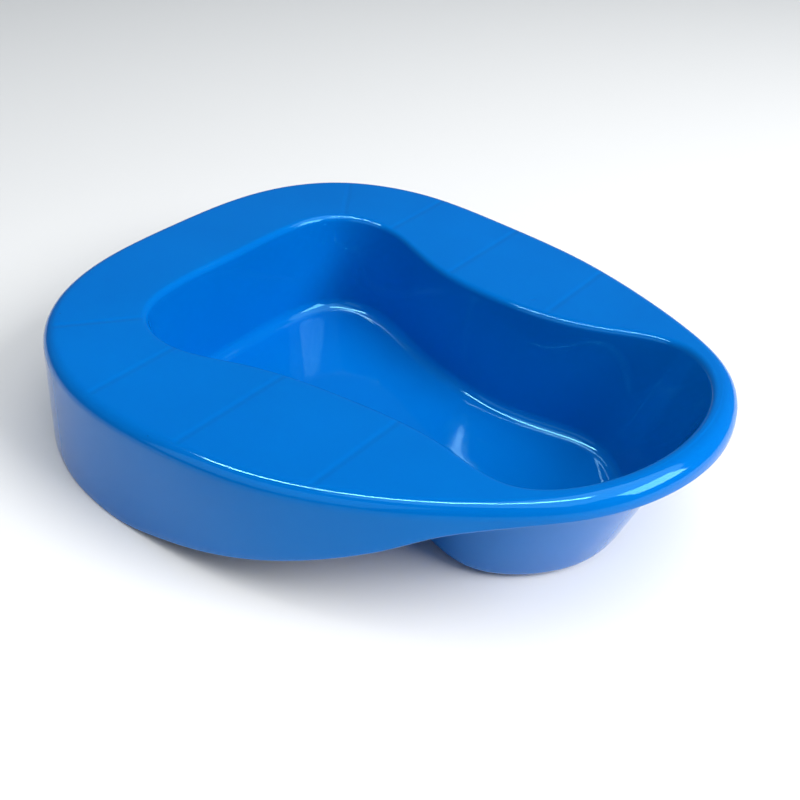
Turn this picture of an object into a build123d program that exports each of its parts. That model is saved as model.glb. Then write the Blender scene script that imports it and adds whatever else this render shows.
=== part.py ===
from build123d import *
import math
import os

# A contoured bedpan: one thin-walled moulding of polypropylene, built here region by region.
# Every outline is symmetric about the XZ plane, so only its +Y half is listed.
#
# Frame: +X points to the deep, narrow end (the bowl end), +Y to the side, +Z up.
# The origin is on the table, in the middle of the pan's footprint.

WALL = 2.5            # wall thickness of the whole moulding
DECK_HEIGHT = 65.0    # top of the seat over the back half
TIP_HEIGHT = 92.5     # top of the rim at the bowl end
RISE_START = -70.0    # from here to the bowl end the seat rises along an arc
RISE_END = 185.0      # where the arc reaches the tip height
OUTER_ROUND = 8.0     # rounding from seat to skirt
MOUTH_ROUND = 4.0     # rounding from seat to basin wall
BASIN_ROUND = 8.0     # rounding from basin wall to floor
SKIRT_FLARE = 4.5     # how far the skirt leans out between seat level and table
REGION_DEPTH = 9.0    # the seat and rim regions reach this far below the seat's top
FLOOR_REGION = 16.0   # height of the basin floor region, past its rounded corner
RIM_START = 110.0     # the rim region runs from here to the bowl end
RIB_THICKNESS = 1.8
RIB_DEPTH = 24.0      # how far a rib hangs under the seat
SIDE_RIBS = (-76.0, -15.5, 54.5)                    # stations of the cross ribs
RIB_FROM_Y, RIB_TO_Y = 40.0, 160.0                  # a cross rib lies between these, from basin to skirt
CORNER_RIB = ((-100.0, 68.0), (-150.0, 134.0))      # line of the back corner rib

# Guide points of the half outlines, from the back, on the axis, to the bowl end, on the axis.
# Each outline is the uniform cubic B-spline that these points and their mirror draw.
SEAT_GUIDE = [(-183, 0), (-182, 65), (-154, 120), (-94, 148), (-32, 146), (30, 138),
              (82, 117), (125, 93), (169, 61), (189, 0)]
MOUTH_GUIDE = [(-123, 0), (-125, 41), (-118, 80), (-75, 92), (-34, 67), (26, 60),
               (81, 60), (127, 80), (162, 47), (174, 0)]
FLOOR_GUIDE = [(-119, 0), (-121, 37), (-110, 78), (-67, 79), (-27, 60), (34, 48),
               (70, 57), (103, 65), (138, 31), (143, 0)]

# Lower edge of the skirt and lip, from the side: on the table at the back, then up to the lip.
SKIRT_EDGE = [(-60, 0), (-20, 6.5), (35, 23), (85, 46), (112, 62.5), (135, 71), (160, 76.5), (200, 82)]

RISE = TIP_HEIGHT - DECK_HEIGHT
RISE_RADIUS = ((RISE_END - RISE_START)**2 + RISE**2) / (2 * RISE)

FAR_X = 200.0         # the profiles below run past the bowl end
REACH = 260.0         # half-size of the cutting solids, larger than the pan
BELOW = -20.0         # the tall solids start under the table
ABOVE = 110.0         # and end over the rim
NUDGE = 1e-4          # small step along an outline, to find its direction


def on_outline(guide, position, grow):
    """Point on the closed B-spline of a half guide and its mirror, moved out by grow(x)."""
    loop = [Vector(*p) for p in guide] + [Vector(x, -y) for x, y in guide[-2:0:-1]]
    span = math.floor(position)
    t = position - span
    before, start, end, after = (loop[(span + k) % len(loop)] for k in (-1, 0, 1, 2))
    point = (before * (1 - t)**3 + start * (3 * t**3 - 6 * t**2 + 4)
             + end * (1 + 3 * t + 3 * t**2 - 3 * t**3) + after * t**3) / 6
    along = (end - start) * (1 + 2 * t - 2 * t**2) + (start - before) * (1 - t)**2 + (after - end) * t**2
    return point + Vector(-along.Y, along.X).normalized() * grow(point.X)


def third_of_slope(guide, position, grow):
    """A third of the outline's derivative: how far a Bezier's inner points lie from its ends."""
    ahead = on_outline(guide, position + NUDGE, grow)
    behind = on_outline(guide, position - NUDGE, grow)
    return (ahead - behind) / (6 * NUDGE)


def outline(guide, grow, z):
    """Closed wire at height z, one Bezier edge for each span of the outline."""
    edges = []
    for span in range(2 * len(guide) - 2):
        start, end = on_outline(guide, span, grow), on_outline(guide, span + 1, grow)
        leave = start + third_of_slope(guide, span, grow)
        arrive = end - third_of_slope(guide, span + 1, grow)
        edges.append(Pos(0, 0, z) * Edge.make_bezier(start, leave, arrive, end))
    return Wire(edges)


def seat_height(x):
    """Top of the seat: level at the back, then a wide arc up to the bowl end."""
    run = max(0.0, x - RISE_START)
    return DECK_HEIGHT + RISE_RADIUS - math.sqrt(RISE_RADIUS**2 - run**2)


def side_solid(profile, drop=0.0):
    """The space below a side profile lowered by drop, right across the pan."""
    first, last = profile @ 0, profile @ 1
    down = 2 * BELOW
    corners = [(last.X, last.Y), (last.X, down), (-REACH, down), (-REACH, first.Y), (first.X, first.Y)]
    side = Pos(0, -drop) * make_face(profile + Polyline(corners))
    return extrude(Plane.XZ.offset(-REACH) * side, 2 * REACH)


def below_seat(drop):
    """Everything below the seat's top surface lowered by drop."""
    start, far = (RISE_START, DECK_HEIGHT), (FAR_X, seat_height(FAR_X))
    return side_solid(TangentArc(start, far, tangent=(1, 0)), drop)


def runs_round(edge):
    """True for an edge that runs round the pan, and not straight across it or up a wall."""
    size = edge.bounding_box().size
    return size.X > 1 and size.Y > 1


def envelope(drop):
    """The block inside the outer wall and under the seat, both moved inwards by drop, rounded."""
    lean = SKIRT_FLARE / DECK_HEIGHT
    low = outline(SEAT_GUIDE, lambda x: lean * (seat_height(x) - BELOW) - drop, BELOW)
    high = outline(SEAT_GUIDE, lambda x: lean * (seat_height(x) - ABOVE) - drop, ABOVE)
    block = Solid.make_loft([low, high], ruled=True) & below_seat(drop)
    top = [e for e in block.edges() if e.center().Z > 0 and runs_round(e)]
    return fillet(top, OUTER_ROUND - drop)


def basin(grow):
    """The basin's hollow, or with grow its outside: drafted walls and a rounded floor edge."""
    floor_level = WALL - grow
    high_half = []
    for (floor_x, floor_y), (mouth_x, mouth_y) in zip(FLOOR_GUIDE, MOUTH_GUIDE):
        longer = (ABOVE - floor_level) / (seat_height(mouth_x) - WALL)
        high_half.append((floor_x + (mouth_x - floor_x) * longer, floor_y + (mouth_y - floor_y) * longer))
    low = outline(FLOOR_GUIDE, lambda x: grow, floor_level)
    high = outline(high_half, lambda x: grow, ABOVE)
    hollow = Solid.make_loft([low, high], ruled=True)
    return fillet(hollow.faces().sort_by(Axis.Z)[0].edges(), BASIN_ROUND + grow)


def moulding_block(drop):
    """The pan as a solid block with its hollow, every surface moved into the wall by drop."""
    body = envelope(drop)
    hollow = basin(drop)
    block = body - hollow
    return fillet(new_edges(body, hollow, combined=block), MOUTH_ROUND - drop)


def pan_shell():
    """The whole moulding: the block less its inside, cut along the skirt's lower edge."""
    under_skirt = side_solid(Spline(*SKIRT_EDGE)) - basin(2 * WALL)
    return moulding_block(0) - moulding_block(WALL) - under_skirt


def beyond_rim_start():
    """All space on the bowl side of the line where the rim region starts."""
    return Pos(RIM_START + REACH, 0, 0) * Box(2 * REACH, 2 * REACH, 2 * REACH)


def regions(pan):
    """The moulding cut into its regions, which share their cut faces."""
    under = below_seat(REGION_DEPTH)
    beyond = beyond_rim_start()
    top = pan - under
    skirt, bowl = (pan & under).solids().sort_by(SortBy.DISTANCE, reverse=True)
    halves = split(bowl, Plane.XY.offset(FLOOR_REGION), keep=Keep.BOTH)
    bowl_floor, bowl_wall = halves.solids().sort_by(Axis.Z)
    return {
        "seat_deck": top - beyond,
        "front_rim": (top & beyond) + (skirt & beyond),
        "outer_skirt": skirt - beyond,
        "basin_wall": bowl_wall,
        "basin_floor": bowl_floor,
    }


def rib_pair(start, end, under_seat):
    """An upright web along a plan line, filling the hollow under the seat, and its mirror."""
    run = Vector(*end) - Vector(*start)
    middle = (Vector(*start) + Vector(*end)) / 2
    turn = math.degrees(math.atan2(run.Y, run.X))
    web = Pos(middle.X, middle.Y, 0) * Rot(0, 0, turn) * Box(run.length, RIB_THICKNESS, 2 * REACH)
    one_side = web & under_seat
    return [one_side, mirror(one_side, about=Plane.XZ)]


def ribs():
    """The cross ribs beside the basin, and the diagonal ribs in the back corners."""
    under_seat = moulding_block(WALL) - below_seat(WALL + RIB_DEPTH)
    cross = []
    for x in SIDE_RIBS:
        cross += rib_pair((x, RIB_FROM_Y), (x, RIB_TO_Y), under_seat)
    return {"side_ribs": cross, "corner_ribs": rib_pair(*CORNER_RIB, under_seat)}


pan = pan_shell()
to_origin = Pos(-pan.bounding_box().center().X, 0, 0)
os.makedirs("parts", exist_ok=True)
for name, region in regions(pan).items():
    export_step(to_origin * region, f"parts/{name}.step")
for name, webs in ribs().items():
    export_step(Compound([to_origin * web for web in webs]), f"parts/{name}.step")
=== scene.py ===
# %% [markdown]
# # A contoured bedpan
# The pan is one thin-walled moulding in glossy blue polypropylene: a broad seat that rises towards
# a narrow, deep bowl end, a basin sunk in the middle, and a skirt that carries the back half.
# Here its whole skin is a single closed surface, worked out as arrays from a few guide points.

# %% Load the frame
import math

import bpy
import numpy as np
from mathutils import Matrix, Quaternion, Vector


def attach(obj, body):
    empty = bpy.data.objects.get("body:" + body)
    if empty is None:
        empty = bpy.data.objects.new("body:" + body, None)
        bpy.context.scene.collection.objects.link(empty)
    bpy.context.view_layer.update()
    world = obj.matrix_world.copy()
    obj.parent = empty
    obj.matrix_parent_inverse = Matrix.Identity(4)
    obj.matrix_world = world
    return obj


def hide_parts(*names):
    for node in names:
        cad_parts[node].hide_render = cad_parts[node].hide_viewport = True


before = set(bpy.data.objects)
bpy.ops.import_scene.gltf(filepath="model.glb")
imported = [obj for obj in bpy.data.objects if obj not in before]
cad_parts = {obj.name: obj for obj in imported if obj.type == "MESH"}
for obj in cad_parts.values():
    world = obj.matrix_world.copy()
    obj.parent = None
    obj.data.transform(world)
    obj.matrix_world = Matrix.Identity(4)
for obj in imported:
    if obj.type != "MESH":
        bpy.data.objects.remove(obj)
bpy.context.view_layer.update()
print("nodes:", sorted(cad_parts))

# %% [markdown]
# ## The pan's driving sizes
# These are the real pan's sizes in millimetres: wall, seat heights, roundings and draft.

# %% Sizes
WALL = 2.5            # wall thickness of the whole moulding
DECK_HEIGHT = 65.0    # top of the seat over the back half
TIP_HEIGHT = 92.5     # top of the rim at the bowl end
RISE_START = -70.0    # from here to the bowl end the seat rises along an arc
RISE_END = 185.0      # where the arc reaches the tip height
OUTER_ROUND = 8.0     # rounding from seat to skirt
MOUTH_ROUND = 4.0     # rounding from seat to basin wall
BASIN_ROUND = 8.0     # rounding from basin wall to floor
SKIRT_FLARE = 4.5     # how far the skirt leans out between seat level and table
RISE = TIP_HEIGHT - DECK_HEIGHT
RISE_RADIUS = ((RISE_END - RISE_START)**2 + RISE**2) / (2 * RISE)
print("rise radius", round(RISE_RADIUS), "mm")

# %% [markdown]
# ## Guide points
# Guide points stand a little off the curve that they draw, on the outside of each bend, and a handful
# of them gives each outline. The outlines run from the back, on the axis, to the bowl end, on the
# axis, and the other half is their mirror. The skirt's edge is a side view: station, then height.

# %% Guide points
SEAT_GUIDE = [(-183, 0), (-182, 65), (-154, 120), (-94, 148), (-32, 146), (30, 138),
              (82, 117), (125, 93), (169, 61), (189, 0)]
MOUTH_GUIDE = [(-123, 0), (-125, 41), (-118, 80), (-75, 92), (-34, 67), (26, 60),
               (81, 60), (127, 80), (162, 47), (174, 0)]
FLOOR_GUIDE = [(-119, 0), (-121, 37), (-110, 78), (-67, 79), (-27, 60), (34, 48),
               (70, 57), (103, 65), (138, 31), (143, 0)]
SKIRT_EDGE = [(-200, 0), (-60, 0), (-20, 6.5), (35, 23), (85, 46), (112, 62.5),
              (135, 71), (160, 76.5), (200, 82)]
print("guide points in each half outline:", len(SEAT_GUIDE))

# %% [markdown]
# ## Smooth outlines from guide points
# A uniform cubic B-spline gives curvature that never jumps, which matters on a glossy part: a jump
# would show as a kink in every reflection that crosses it. A chain of arcs would be simpler to
# dimension but would show those kinks.

# %% Outline helper
ROUND_STEPS = 396     # points round the pan


def outline(guide):
    """Points and outward normals round a half guide and its mirror.

    Each point is the cubic B-spline blend of four neighbouring guide points, and its normal is the
    blend's derivative turned a quarter turn.
    """
    half = np.array(guide, float)
    loop = np.vstack([half, half[-2:0:-1] * (1, -1)])
    place = np.arange(ROUND_STEPS) * len(loop) / ROUND_STEPS
    span = np.floor(place).astype(int)
    t = (place - span)[:, None]
    before, start, end, after = (loop[(span + k) % len(loop)] for k in (-1, 0, 1, 2))
    point = (before * (1 - t)**3 + start * (3 * t**3 - 6 * t**2 + 4)
             + end * (1 + 3 * t + 3 * t**2 - 3 * t**3) + after * t**3) / 6
    along = (end - start) * (1 + 2 * t - 2 * t**2) + (start - before) * (1 - t)**2 + (after - end) * t**2
    normal = np.stack([-along[:, 1], along[:, 0]], axis=1)
    return point, normal / np.linalg.norm(normal, axis=1, keepdims=True)


seat_line, seat_out = outline(SEAT_GUIDE)
mouth_line = outline(MOUTH_GUIDE)[0]
floor_line, floor_out = outline(FLOOR_GUIDE)
print("mouth is", round(np.ptp(mouth_line[:, 0])), "by", round(np.ptp(mouth_line[:, 1])), "mm")

# %% [markdown]
# ## Heights
# The seat's top is level at the back and then climbs along one wide arc. The skirt's lower edge lies
# on the table at the back, leaves it beside the basin and sweeps up until only a lip is left.

# %% Height helpers
def seat_height(x):
    """Level, then on a circle of the rise radius whose lowest point is where the rise starts."""
    run = np.maximum(x - RISE_START, 0)
    return DECK_HEIGHT + RISE_RADIUS - np.sqrt(RISE_RADIUS**2 - run**2)


def seat_slope(x):
    """Derivative of the circle: the run over the height left to its centre."""
    run = np.maximum(x - RISE_START, 0)
    return run / np.sqrt(RISE_RADIUS**2 - run**2)


def skirt_height(x):
    """Cubic Hermite curve through the skirt edge's points, each point's slope taken from its neighbours.

    The first two slopes are zero, so the back of the edge lies flat on the table.
    """
    stations, heights = np.array(SKIRT_EDGE, float).T
    slopes = np.gradient(heights, stations)
    slopes[:2] = 0
    i = np.clip(np.searchsorted(stations, x) - 1, 0, len(stations) - 2)
    step = stations[i + 1] - stations[i]
    t = (x - stations[i]) / step
    return (heights[i] * (1 + 2 * t) * (1 - t)**2 + heights[i + 1] * t**2 * (3 - 2 * t)
            + slopes[i] * step * t * (1 - t)**2 - slopes[i + 1] * step * t**2 * (1 - t))


tip_x = seat_line[:, 0].max()
print("lip depth at the bowl end", round(float(seat_height(tip_x) - skirt_height(tip_x)), 1), "mm")

# %% [markdown]
# ## Rounded corners
# In each upright section the pan is four straight runs: up the skirt, across the seat, down the basin
# wall and across the floor. Between them sit three rounded corners. One helper fits a circular arc
# into a corner for every section at once.

# %% Section helpers
def unit(v):
    """Each vector over its own length."""
    return v / np.linalg.norm(v, axis=-1, keepdims=True)


def corner_arc(corner, back, ahead, radius, steps):
    """Arc tangent to two directions that leave a corner, for all sections.

    The tangent points lie radius / tan(half angle) from the corner, the centre lies
    radius / sin(half angle) along the bisector, and the arc turns evenly from one to the other.
    """
    half = np.arccos(np.clip((back * ahead).sum(-1), -1, 1)) / 2
    bisector = unit(back + ahead)
    centre = corner + bisector * (radius / np.sin(half))[:, None]
    first = unit(corner + back * (radius / np.tan(half))[:, None] - centre)
    last = unit(corner + ahead * (radius / np.tan(half))[:, None] - centre)
    turn = np.pi - 2 * half
    t = np.linspace(0, 1, steps)[:, None, None]
    wide = turn[None, :, None]
    mixed = (first * np.sin((1 - t) * wide) + last * np.sin(t * wide)) / np.sin(wide)
    return centre + radius * mixed


def run_between(start, end, steps):
    """Evenly spaced rows strictly between two rows."""
    t = np.linspace(0, 1, steps + 2)[1:-1, None, None]
    return start + (end - start) * t


def at_height(line, height):
    """Plan points with a height added."""
    return np.column_stack([line, np.broadcast_to(height, len(line))])


trial = corner_arc(np.zeros((1, 3)), np.array([[1.0, 0, 0]]), np.array([[0, 1.0, 0]]), MOUTH_ROUND, 3)
print("a square corner's arc starts", round(float(trial[0, 0, 0]), 2), "mm from the corner")

# %% [markdown]
# ## Corners and directions
# The wall is drafted, as a moulding has to be to leave its tool, so the skirt leans out towards the
# table and the basin narrows towards its floor. Each section has its three sharp corners and the
# directions in which its runs leave them.

# %% Corners and directions
lean = SKIRT_FLARE / DECK_HEIGHT
seat_corner = at_height(seat_line, seat_height(seat_line[:, 0]))
mouth_corner = at_height(mouth_line, seat_height(mouth_line[:, 0]))
floor_corner = at_height(floor_line, WALL)
down_skirt = unit(np.column_stack([seat_out * lean, -np.ones(ROUND_STEPS)]))
inward = mouth_line - seat_line
seat_in = unit(np.column_stack([inward, inward[:, 0] * seat_slope(seat_line[:, 0])]))
seat_back = unit(np.column_stack([-inward, -inward[:, 0] * seat_slope(mouth_line[:, 0])]))
down_wall = unit(floor_corner - mouth_corner)
floor_in = np.column_stack([-floor_out, np.zeros(ROUND_STEPS)])
wall_draft = np.degrees(np.arccos(-down_wall[:, 2]))
print("basin wall leans", round(float(wall_draft.min())), "to", round(float(wall_draft.max())), "degrees")

# %% [markdown]
# ## The upper skin
# The rows run from the skirt's lower edge up, over the seat and down to the middle of the floor, where
# they shrink to a point. The roundings get the closest rows, because they carry the highlights. A
# subdivision surface over a coarse cage would be lighter, but it would soften the true radii.

# %% Upper skin
OUTER_STEPS, MOUTH_STEPS, BASIN_STEPS = 12, 10, 14
SKIRT_ROWS, SEAT_ROWS, WALL_ROWS, FLOOR_ROWS = 14, 18, 14, 16
EDGE_ROUND = WALL / 2
POLE = np.array([8.0, 0.0, WALL])     # the floor's middle, where the rows shrink to a point

outer_arc = corner_arc(seat_corner, down_skirt, seat_in, OUTER_ROUND, OUTER_STEPS)
mouth_arc = corner_arc(mouth_corner, seat_back, down_wall, MOUTH_ROUND, MOUTH_STEPS)
basin_arc = corner_arc(floor_corner, -down_wall, floor_in, BASIN_ROUND, BASIN_STEPS)
drop = seat_corner[:, 2] - skirt_height(seat_corner[:, 0]) - EDGE_ROUND
skirt_foot = seat_corner + down_skirt * (drop / -down_skirt[:, 2])[:, None]
skirt_rows = run_between(skirt_foot, outer_arc[0], SKIRT_ROWS)
seat_rows = run_between(outer_arc[-1], mouth_arc[0], SEAT_ROWS)
seat_rows[..., 2] = seat_height(seat_rows[..., 0])
wall_rows = run_between(mouth_arc[-1], basin_arc[0], WALL_ROWS)
floor_rows = run_between(basin_arc[-1], np.broadcast_to(POLE, (ROUND_STEPS, 3)), FLOOR_ROWS)
upper = np.concatenate([skirt_foot[None], skirt_rows, outer_arc, seat_rows, mouth_arc, wall_rows,
                        basin_arc, floor_rows])
print("least straight lip", round(float((outer_arc[0] - skirt_foot)[:, 2].min()), 2), "mm")
print("upper skin has", upper.shape[0], "rows of", upper.shape[1], "points")

# %% [markdown]
# ## The underside and the closed shell
# A moulding has the same wall all over, so the underside is the upper skin moved in by the wall along
# its own normals. Solidify would do the same, but with arrays the lower edge gets its rounding and
# both skins end in clean poles.

# %% Underside and edge
EDGE_STEPS = 7        # rows of the half round on the lower edge, its two ends counted


def normals_of(grid):
    """Cross product of the steps along the rows and round the pan, by central differences."""
    along = np.gradient(grid, axis=0)
    around = np.roll(grid, -1, axis=1) - np.roll(grid, 1, axis=1)
    return unit(np.cross(along, around))


under = upper - WALL * normals_of(upper)
under[-FLOOR_ROWS:, :, 2] = 0.0
turn = np.linspace(0, np.pi, EDGE_STEPS)[1:-1, None, None]
edge_middle = (upper[0] + under[0]) / 2
edge_rows = edge_middle + (under[0] - edge_middle) * np.cos(turn) + down_skirt * EDGE_ROUND * np.sin(turn)
shell = np.concatenate([under[::-1], edge_rows, upper])
middle_x = (shell[..., 0].min() + shell[..., 0].max()) / 2
shell_mm = shell - (middle_x, 0, 0)
poles_mm = np.array([[POLE[0], 0, 0], POLE]) - (middle_x, 0, 0)
print("lowest point", round(float(shell[..., 2].min()), 2), "mm")

# %% [markdown]
# ## From arrays to a mesh
# A grid that closes round and ends in two poles has the faces of a globe: quads between the rings and
# a fan of triangles at each end. The index arrays are built whole and handed over in one call.

# %% Mesh helper
def globe_mesh(name, rings, poles):
    """Mesh of rings (row, around, xyz) with a pole before the first ring and one after the last."""
    rows, round_count = rings.shape[:2]
    points = np.concatenate([rings.reshape(-1, 3), poles])
    index = np.arange(rows * round_count).reshape(rows, round_count)
    ahead = np.roll(index, -1, axis=1)
    quads = np.stack([index[:-1], index[1:], ahead[1:], ahead[:-1]], axis=-1).reshape(-1, 4)
    first_pole, last_pole = rows * round_count, rows * round_count + 1
    first = np.stack([np.full(round_count, first_pole), index[0], ahead[0]], axis=-1)
    last = np.stack([index[-1], np.full(round_count, last_pole), ahead[-1]], axis=-1)
    mesh = bpy.data.meshes.new(name)
    mesh.from_pydata(points / 1000, [], quads.tolist() + first.tolist() + last.tolist())
    mesh.polygons.foreach_set("use_smooth", np.ones(len(mesh.polygons), bool))
    mesh.update()
    return mesh


# %% Moulding
pan = bpy.data.objects.new("pan_moulding", globe_mesh("pan_moulding", shell_mm, poles_mm))
bpy.context.collection.objects.link(pan)
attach(pan, "root")
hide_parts("seat_deck", "front_rim", "outer_skirt", "basin_wall", "basin_floor")
print("moulding faces", len(pan.data.polygons))

# %% [markdown]
# ## Small tools for shader nodes
# A procedural material is a network of small sums. Three helpers keep it readable: one makes a node
# with its inputs set, one makes a math node from sockets or numbers, and one fades a value out softly.

# %% Node helpers
def node_with(nodes, kind, **inputs):
    """New shader node with its named inputs set; underscores stand for spaces."""
    node = nodes.new(kind)
    for name, value in inputs.items():
        node.inputs[name.replace("_", " ")].default_value = value
    return node


def math_of(nodes, links, operation, *values):
    """Result of a math node whose inputs are sockets or numbers."""
    node = nodes.new("ShaderNodeMath")
    node.operation = operation
    for socket, value in zip(node.inputs, values):
        if isinstance(value, bpy.types.NodeSocket):
            links.new(value, socket)
        else:
            socket.default_value = value
    return node.outputs["Value"]


def fade(nodes, links, value, start, end):
    """1 while the value is below start, 0 past end, and a smooth step between them."""
    node = node_with(nodes, "ShaderNodeMapRange", From_Min=start, From_Max=end, To_Min=1.0, To_Max=0.0)
    node.interpolation_type = "SMOOTHSTEP"
    links.new(value, node.inputs["Value"])
    return node.outputs["Result"]


print("helpers:", node_with.__name__, math_of.__name__, fade.__name__)

# %% [markdown]
# ## Sink lines
# Where a rib meets the seat from below, the plastic is thicker, cools later and sinks by a hair. The
# line is too shallow to model, so a bump draws it: the distance to each rib's plan line, in Object
# coordinates, turned into a narrow smooth groove. Only level surfaces take it, so no line runs over
# a rounding.

# %% Sink lines
SIDE_RIBS = (-76.0, -15.5, 54.5)                    # stations of the cross ribs, mm
CORNER_RIB = ((-100.0, 68.0), (-150.0, 134.0))      # plan line of the back corner rib, mm
SINK_WIDTH = 0.0030                                 # reach to each side of a line, metres
SEAT_FROM, SEAT_SURE = 0.050, 0.060                 # heights between which the lines fade in, metres
TILTED, LEVEL = 0.93, 0.98                          # upward part of the normal, from rounding to seat


def level_share(nodes, links):
    """1 where the surface faces up, as on the seat, and 0 on the roundings and walls."""
    facing = nodes.new("ShaderNodeSeparateXYZ")
    links.new(nodes.new("ShaderNodeNewGeometry").outputs["True Normal"], facing.inputs["Vector"])
    return math_of(nodes, links, "SUBTRACT", 1.0, fade(nodes, links, facing.outputs["Z"], TILTED, LEVEL))


def rib_distances(nodes, links, x, side):
    """Signed distances to the ribs' plan lines, from a station and a distance off the axis.

    A cross rib's is the station less its own. The corner rib's is the plan point, measured from the
    line's start, times the unit vector across the line.
    """
    distances = [math_of(nodes, links, "SUBTRACT", x, (rib_x - middle_x) / 1000) for rib_x in SIDE_RIBS]
    start, end = (Vector(corner) for corner in CORNER_RIB)
    across = Vector((start.y - end.y, end.x - start.x)).normalized()
    offset = -across.dot(start - Vector((middle_x, 0))) / 1000
    weighed = math_of(nodes, links, "MULTIPLY_ADD", x, across.x, offset)
    distances.append(math_of(nodes, links, "MULTIPLY_ADD", side, across.y, weighed))
    return distances


def sink_lines(nodes, links, place):
    """Groove height over every rib: 1 on a rib's line and 0 a sink width away."""
    axes = nodes.new("ShaderNodeSeparateXYZ")
    links.new(place, axes.inputs["Vector"])
    side = math_of(nodes, links, "ABSOLUTE", axes.outputs["Y"])
    deepest = 0.0
    for distance in rib_distances(nodes, links, axes.outputs["X"], side):
        away = math_of(nodes, links, "ABSOLUTE", distance)
        deepest = math_of(nodes, links, "MAXIMUM", deepest, fade(nodes, links, away, 0.0, SINK_WIDTH))
    low = fade(nodes, links, axes.outputs["Z"], SEAT_FROM, SEAT_SURE)
    high = math_of(nodes, links, "SUBTRACT", 1.0, low)
    return math_of(nodes, links, "MULTIPLY", deepest, high)


print("sink lines on each side of the seat:", len(SIDE_RIBS) + 1)

# %% [markdown]
# ## Dents and specks
# Cells of a Voronoi pattern, of which only a share is kept, give a used pan's few small dents and the
# dust specks in its plastic. Both are discs about a cell's point, so one helper draws them.

# %% Dents and specks
DENT_RADIUS, DENT_CELLS, DENT_SHARE, DENT_DEPTH = 0.0020, 26.0, 0.25, 0.5
SPECK_RADIUS, SPECK_CELLS, SPECK_SHARE = 0.0005, 70.0, 0.10
FULL_INSIDE = 0.4     # share of a disc's radius that is at full strength


def spots(nodes, links, place, cells_per_metre, radius, share):
    """1 inside small discs, one in the given share of a Voronoi pattern's cells, and 0 elsewhere."""
    cells = node_with(nodes, "ShaderNodeTexVoronoi", Scale=cells_per_metre)
    links.new(place, cells.inputs["Vector"])
    channel = nodes.new("ShaderNodeSeparateColor")
    links.new(cells.outputs["Color"], channel.inputs["Color"])
    reach = radius * cells_per_metre
    disc = fade(nodes, links, cells.outputs["Distance"], FULL_INSIDE * reach, reach)
    chosen = math_of(nodes, links, "LESS_THAN", channel.outputs["Red"], share)
    return math_of(nodes, links, "MULTIPLY", disc, chosen)


print("dents are", 2000 * DENT_RADIUS, "mm across, specks", 2000 * SPECK_RADIUS, "mm")

# %% [markdown]
# ## Colour, polish and relief
# The plastic is coloured through, with a slightly uneven pigment. Its surface is polished but never
# perfect: a fine noise moves the roughness, and a stretched one adds hairline scuffs. A low, wide noise
# bends the reflections as cooled plastic does, under the sink lines and dents.

# %% Pigment
DEEP_BLUE, CLEAR_BLUE = (0.000, 0.124, 0.462, 1), (0.000, 0.137, 0.500, 1)
SPECK_COLOUR = (0.004, 0.03, 0.12, 1)


def pigment(nodes, links, place):
    """Colour: two near blues mixed by a soft noise, with dark specks over them."""
    tint = node_with(nodes, "ShaderNodeTexNoise", Scale=14.0, Detail=4.0)
    links.new(place, tint.inputs["Vector"])
    colours = nodes.new("ShaderNodeValToRGB")
    stops = ((0.3, DEEP_BLUE), (0.75, CLEAR_BLUE))
    for element, (position, colour) in zip(colours.color_ramp.elements, stops):
        element.position = position
        element.color = colour
    links.new(tint.outputs["Fac"], colours.inputs["Fac"])
    specked = nodes.new("ShaderNodeMix")
    specked.data_type = "RGBA"
    specked.inputs["B"].default_value = SPECK_COLOUR
    dust = spots(nodes, links, place, SPECK_CELLS, SPECK_RADIUS, SPECK_SHARE)
    links.new(dust, specked.inputs["Factor"])
    links.new(colours.outputs["Color"], specked.inputs["A"])
    return specked.outputs["Result"]


print("pigment", DEEP_BLUE[:3], "to", CLEAR_BLUE[:3])

# %% Polish
SMOOTHEST, DULLEST = 0.04, 0.08     # roughness of the polished skin
SCUFF_ROUGHNESS = 0.15              # added on a scuff
SCUFF_FROM, SCUFF_FULL = 0.66, 0.76 # noise values between which a scuff fades in


def polish(nodes, links, place):
    """Roughness: a fine noise between two polished values, plus thin stretched scuffs."""
    fine = node_with(nodes, "ShaderNodeTexNoise", Scale=90.0, Detail=6.0)
    links.new(place, fine.inputs["Vector"])
    skin = node_with(nodes, "ShaderNodeMapRange", To_Min=SMOOTHEST, To_Max=DULLEST)
    links.new(fine.outputs["Fac"], skin.inputs["Value"])
    stretch = node_with(nodes, "ShaderNodeMapping", Rotation=(0.3, 0.2, 0.6), Scale=(20.0, 700.0, 200.0))
    links.new(place, stretch.inputs["Vector"])
    hairs = node_with(nodes, "ShaderNodeTexNoise", Scale=1.0, Detail=2.0)
    links.new(stretch.outputs["Vector"], hairs.inputs["Vector"])
    unscuffed = fade(nodes, links, hairs.outputs["Fac"], SCUFF_FROM, SCUFF_FULL)
    scuffs = math_of(nodes, links, "SUBTRACT", 1.0, unscuffed)
    return math_of(nodes, links, "MULTIPLY_ADD", scuffs, SCUFF_ROUGHNESS, skin.outputs["Result"])


print("roughness", SMOOTHEST, "to", DULLEST, "and", round(DULLEST + SCUFF_ROUGHNESS, 2), "on a scuff")

# %% Relief
WAVE_DEPTH = 0.0004    # metres, at full strength
WAVE_STRENGTH = 0.3
SINK_DEPTH = 0.00022   # metres


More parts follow.
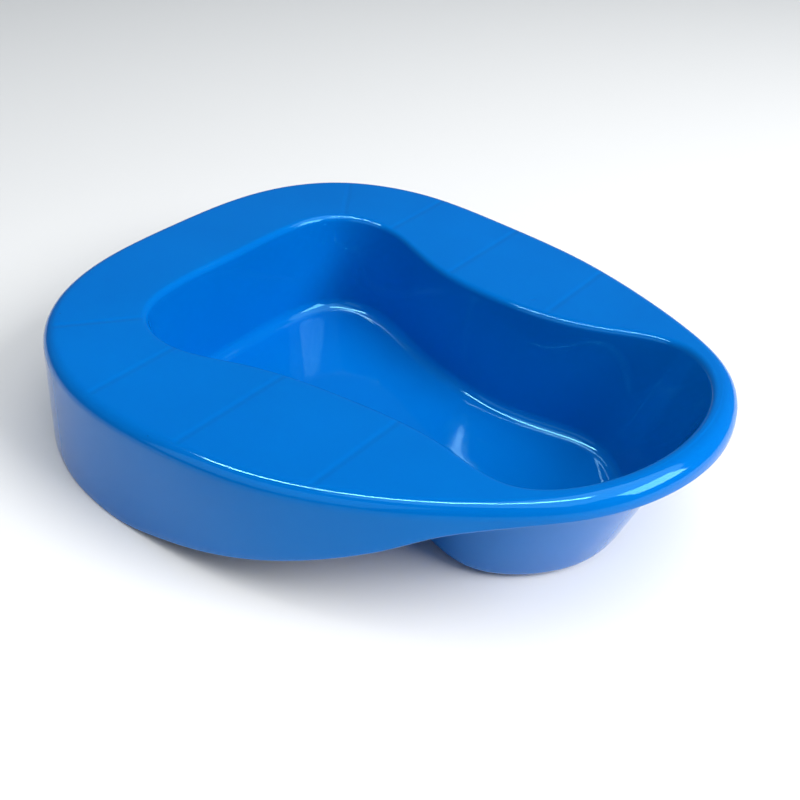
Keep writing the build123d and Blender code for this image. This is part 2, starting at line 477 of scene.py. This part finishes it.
def relief(nodes, links, place):
    """Normal: a wide waviness, then grooves and dents pressed into it."""
    waves = node_with(nodes, "ShaderNodeTexNoise", Scale=22.0, Detail=1.0)
    links.new(place, waves.inputs["Vector"])
    wavy = node_with(nodes, "ShaderNodeBump", Strength=WAVE_STRENGTH, Distance=WAVE_DEPTH)
    links.new(waves.outputs["Fac"], wavy.inputs["Height"])
    dents = spots(nodes, links, place, DENT_CELLS, DENT_RADIUS, DENT_SHARE)
    marks = math_of(nodes, links, "MULTIPLY_ADD", dents, DENT_DEPTH, sink_lines(nodes, links, place))
    on_seat = math_of(nodes, links, "MULTIPLY", marks, level_share(nodes, links))
    grooved = node_with(nodes, "ShaderNodeBump", Strength=1.0, Distance=-SINK_DEPTH)
    links.new(on_seat, grooved.inputs["Height"])
    links.new(wavy.outputs["Normal"], grooved.inputs["Normal"])
    return grooved.outputs["Normal"]


print("sink lines are", SINK_DEPTH * 1000, "mm deep")

# %% [markdown]
# ## Glossy polypropylene
# Some light enters the plastic and leaves again a little way off, its blue part furthest, so the
# shader has a small subsurface share. The gloss is tinted blue, which a real plastic's isn't: it keeps
# the highlights and the seat's sheen blue, where a plain white gloss would look milky.

# %% Plastic
def plastic():
    """Blue glossy plastic: constants on the shader itself, and colour, polish and relief from nodes."""
    material = bpy.data.materials.new("pan_plastic")
    material.use_nodes = True
    nodes, links = material.node_tree.nodes, material.node_tree.links
    shader = nodes["Principled BSDF"]
    shader.inputs["IOR"].default_value = 1.49
    shader.inputs["Specular Tint"].default_value = (0.2, 0.75, 1.0, 1)
    shader.inputs["Subsurface Weight"].default_value = 0.10
    shader.inputs["Subsurface Radius"].default_value = (0.1, 0.5, 1.0)
    shader.inputs["Subsurface Scale"].default_value = 0.003
    place = nodes.new("ShaderNodeTexCoord").outputs["Object"]
    links.new(pigment(nodes, links, place), shader.inputs["Base Color"])
    links.new(polish(nodes, links, place), shader.inputs["Roughness"])
    links.new(relief(nodes, links, place), shader.inputs["Normal"])
    return material


pan_plastic = plastic()
pan.data.materials.append(pan_plastic)
for name in ("side_ribs", "corner_ribs"):
    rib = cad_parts[name]
    rib.data.materials.clear()
    rib.data.materials.append(pan_plastic)
print("plastic nodes", len(pan_plastic.node_tree.nodes))

# %% [markdown]
# ## Floor
# A pale matt floor, large enough to fill the view, bounces soft light back up on the skirt.

# %% Floor
HALF_FLOOR = 3.0
FLOOR_GREY = 0.74
FLOOR_ROUGHNESS = 0.7
floor_mesh = bpy.data.meshes.new("studio_floor")
floor_mesh.from_pydata([(-HALF_FLOOR, -HALF_FLOOR, 0), (HALF_FLOOR, -HALF_FLOOR, 0),
                        (HALF_FLOOR, HALF_FLOOR, 0), (-HALF_FLOOR, HALF_FLOOR, 0)], [], [(0, 1, 2, 3)])
floor = bpy.data.objects.new("studio_floor", floor_mesh)
bpy.context.collection.objects.link(floor)
floor_paint = bpy.data.materials.new("studio_white")
floor_paint.use_nodes = True
paint_inputs = floor_paint.node_tree.nodes["Principled BSDF"].inputs
paint_inputs["Base Color"].default_value = (FLOOR_GREY, FLOOR_GREY, FLOOR_GREY, 1)
paint_inputs["Roughness"].default_value = FLOOR_ROUGHNESS
floor_mesh.materials.append(floor_paint)
print("floor is", 2 * HALF_FLOOR, "m square")

# %% [markdown]
# ## Camera
# The camera circles an aim point by a turn and a rise, and is rolled a little about its own axis, as a
# camera held in the hand is. Its axes are worked out as vectors and written as the columns of a matrix.

# %% Camera
CAMERA_TURN, CAMERA_RISE, CAMERA_ROLL = (math.radians(v) for v in (38.23, 37.72, 2.4))
CAMERA_DISTANCE = 0.55106
LENS = 46.08
AIM = Vector((0.0155 - middle_x / 1000, -0.0124, 0.0346))
back = Vector((math.sin(CAMERA_TURN) * math.cos(CAMERA_RISE),
               -math.cos(CAMERA_TURN) * math.cos(CAMERA_RISE), math.sin(CAMERA_RISE)))
right = (-back).cross(Vector((0, 0, 1))).normalized()
up = right.cross(-back)
rolled_right = right * math.cos(CAMERA_ROLL) + up * math.sin(CAMERA_ROLL)
rolled_up = up * math.cos(CAMERA_ROLL) - right * math.sin(CAMERA_ROLL)
camera_data = bpy.data.cameras.new("camera")
camera_data.lens = LENS
camera_data.clip_start = 0.01
camera = bpy.data.objects.new("camera", camera_data)
bpy.context.collection.objects.link(camera)
turned = Matrix((rolled_right, rolled_up, back)).transposed().to_4x4()
camera.matrix_world = Matrix.Translation(AIM + back * CAMERA_DISTANCE) @ turned
bpy.context.scene.camera = camera
print("camera stands", round(CAMERA_DISTANCE * 1000), "mm from its aim point")

# %% [markdown]
# ## Light
# A broad soft light overhead and one on the bowl side light the plastic, and a weak one in front keeps
# the skirt readable. A long narrow strip overhead is there for the gloss alone: it draws the thin
# bright lines on the roundings, so it is hidden from diffuse light, where it would add a second,
# harder light. The pale surround fills the shadows.

# %% Lights
def soft_light(name, place, size, power, aim=(0, 0, 0), spin=0.0):
    """Rectangular area light at a place, facing an aim point and spun about its own axis by degrees."""
    data = bpy.data.lights.new(name, "AREA")
    data.shape = "RECTANGLE"
    data.size, data.size_y = size
    data.energy = power
    light = bpy.data.objects.new(name, data)
    bpy.context.collection.objects.link(light)
    light.location = place
    facing = (Vector(aim) - Vector(place)).to_track_quat("-Z", "Y")
    light.rotation_euler = (facing @ Quaternion((0, 0, 1), math.radians(spin))).to_euler()
    return light


soft_light("ceiling", place=(0.35, 0.0, 1.6), size=(2.0, 1.8), power=28)
soft_light("side", place=(1.35, 0.3, 1.1), size=(0.9, 0.8), power=34)
soft_light("front_fill", place=(-0.3, -1.5, 0.8), size=(1.4, 1.0), power=4.5)
strip = soft_light("strip", place=(-0.33, -0.24, 1.5), size=(1.5, 0.12), power=32,
                   aim=(-0.33, 0, 0), spin=20)
strip.visible_diffuse = False
print("lights:", [light.name for light in bpy.data.lights])

# %% Surround and view
SURROUND_COLOUR = (0.55, 0.8, 1.0, 1)
SURROUND_STRENGTH = 0.12
world = bpy.data.worlds.new("studio_surround")
bpy.context.scene.world = world
world.use_nodes = True
surround = world.node_tree.nodes["Background"].inputs
surround["Color"].default_value = SURROUND_COLOUR
surround["Strength"].default_value = SURROUND_STRENGTH
bpy.context.scene.view_settings.view_transform = "Standard"
print("surround strength", SURROUND_STRENGTH)
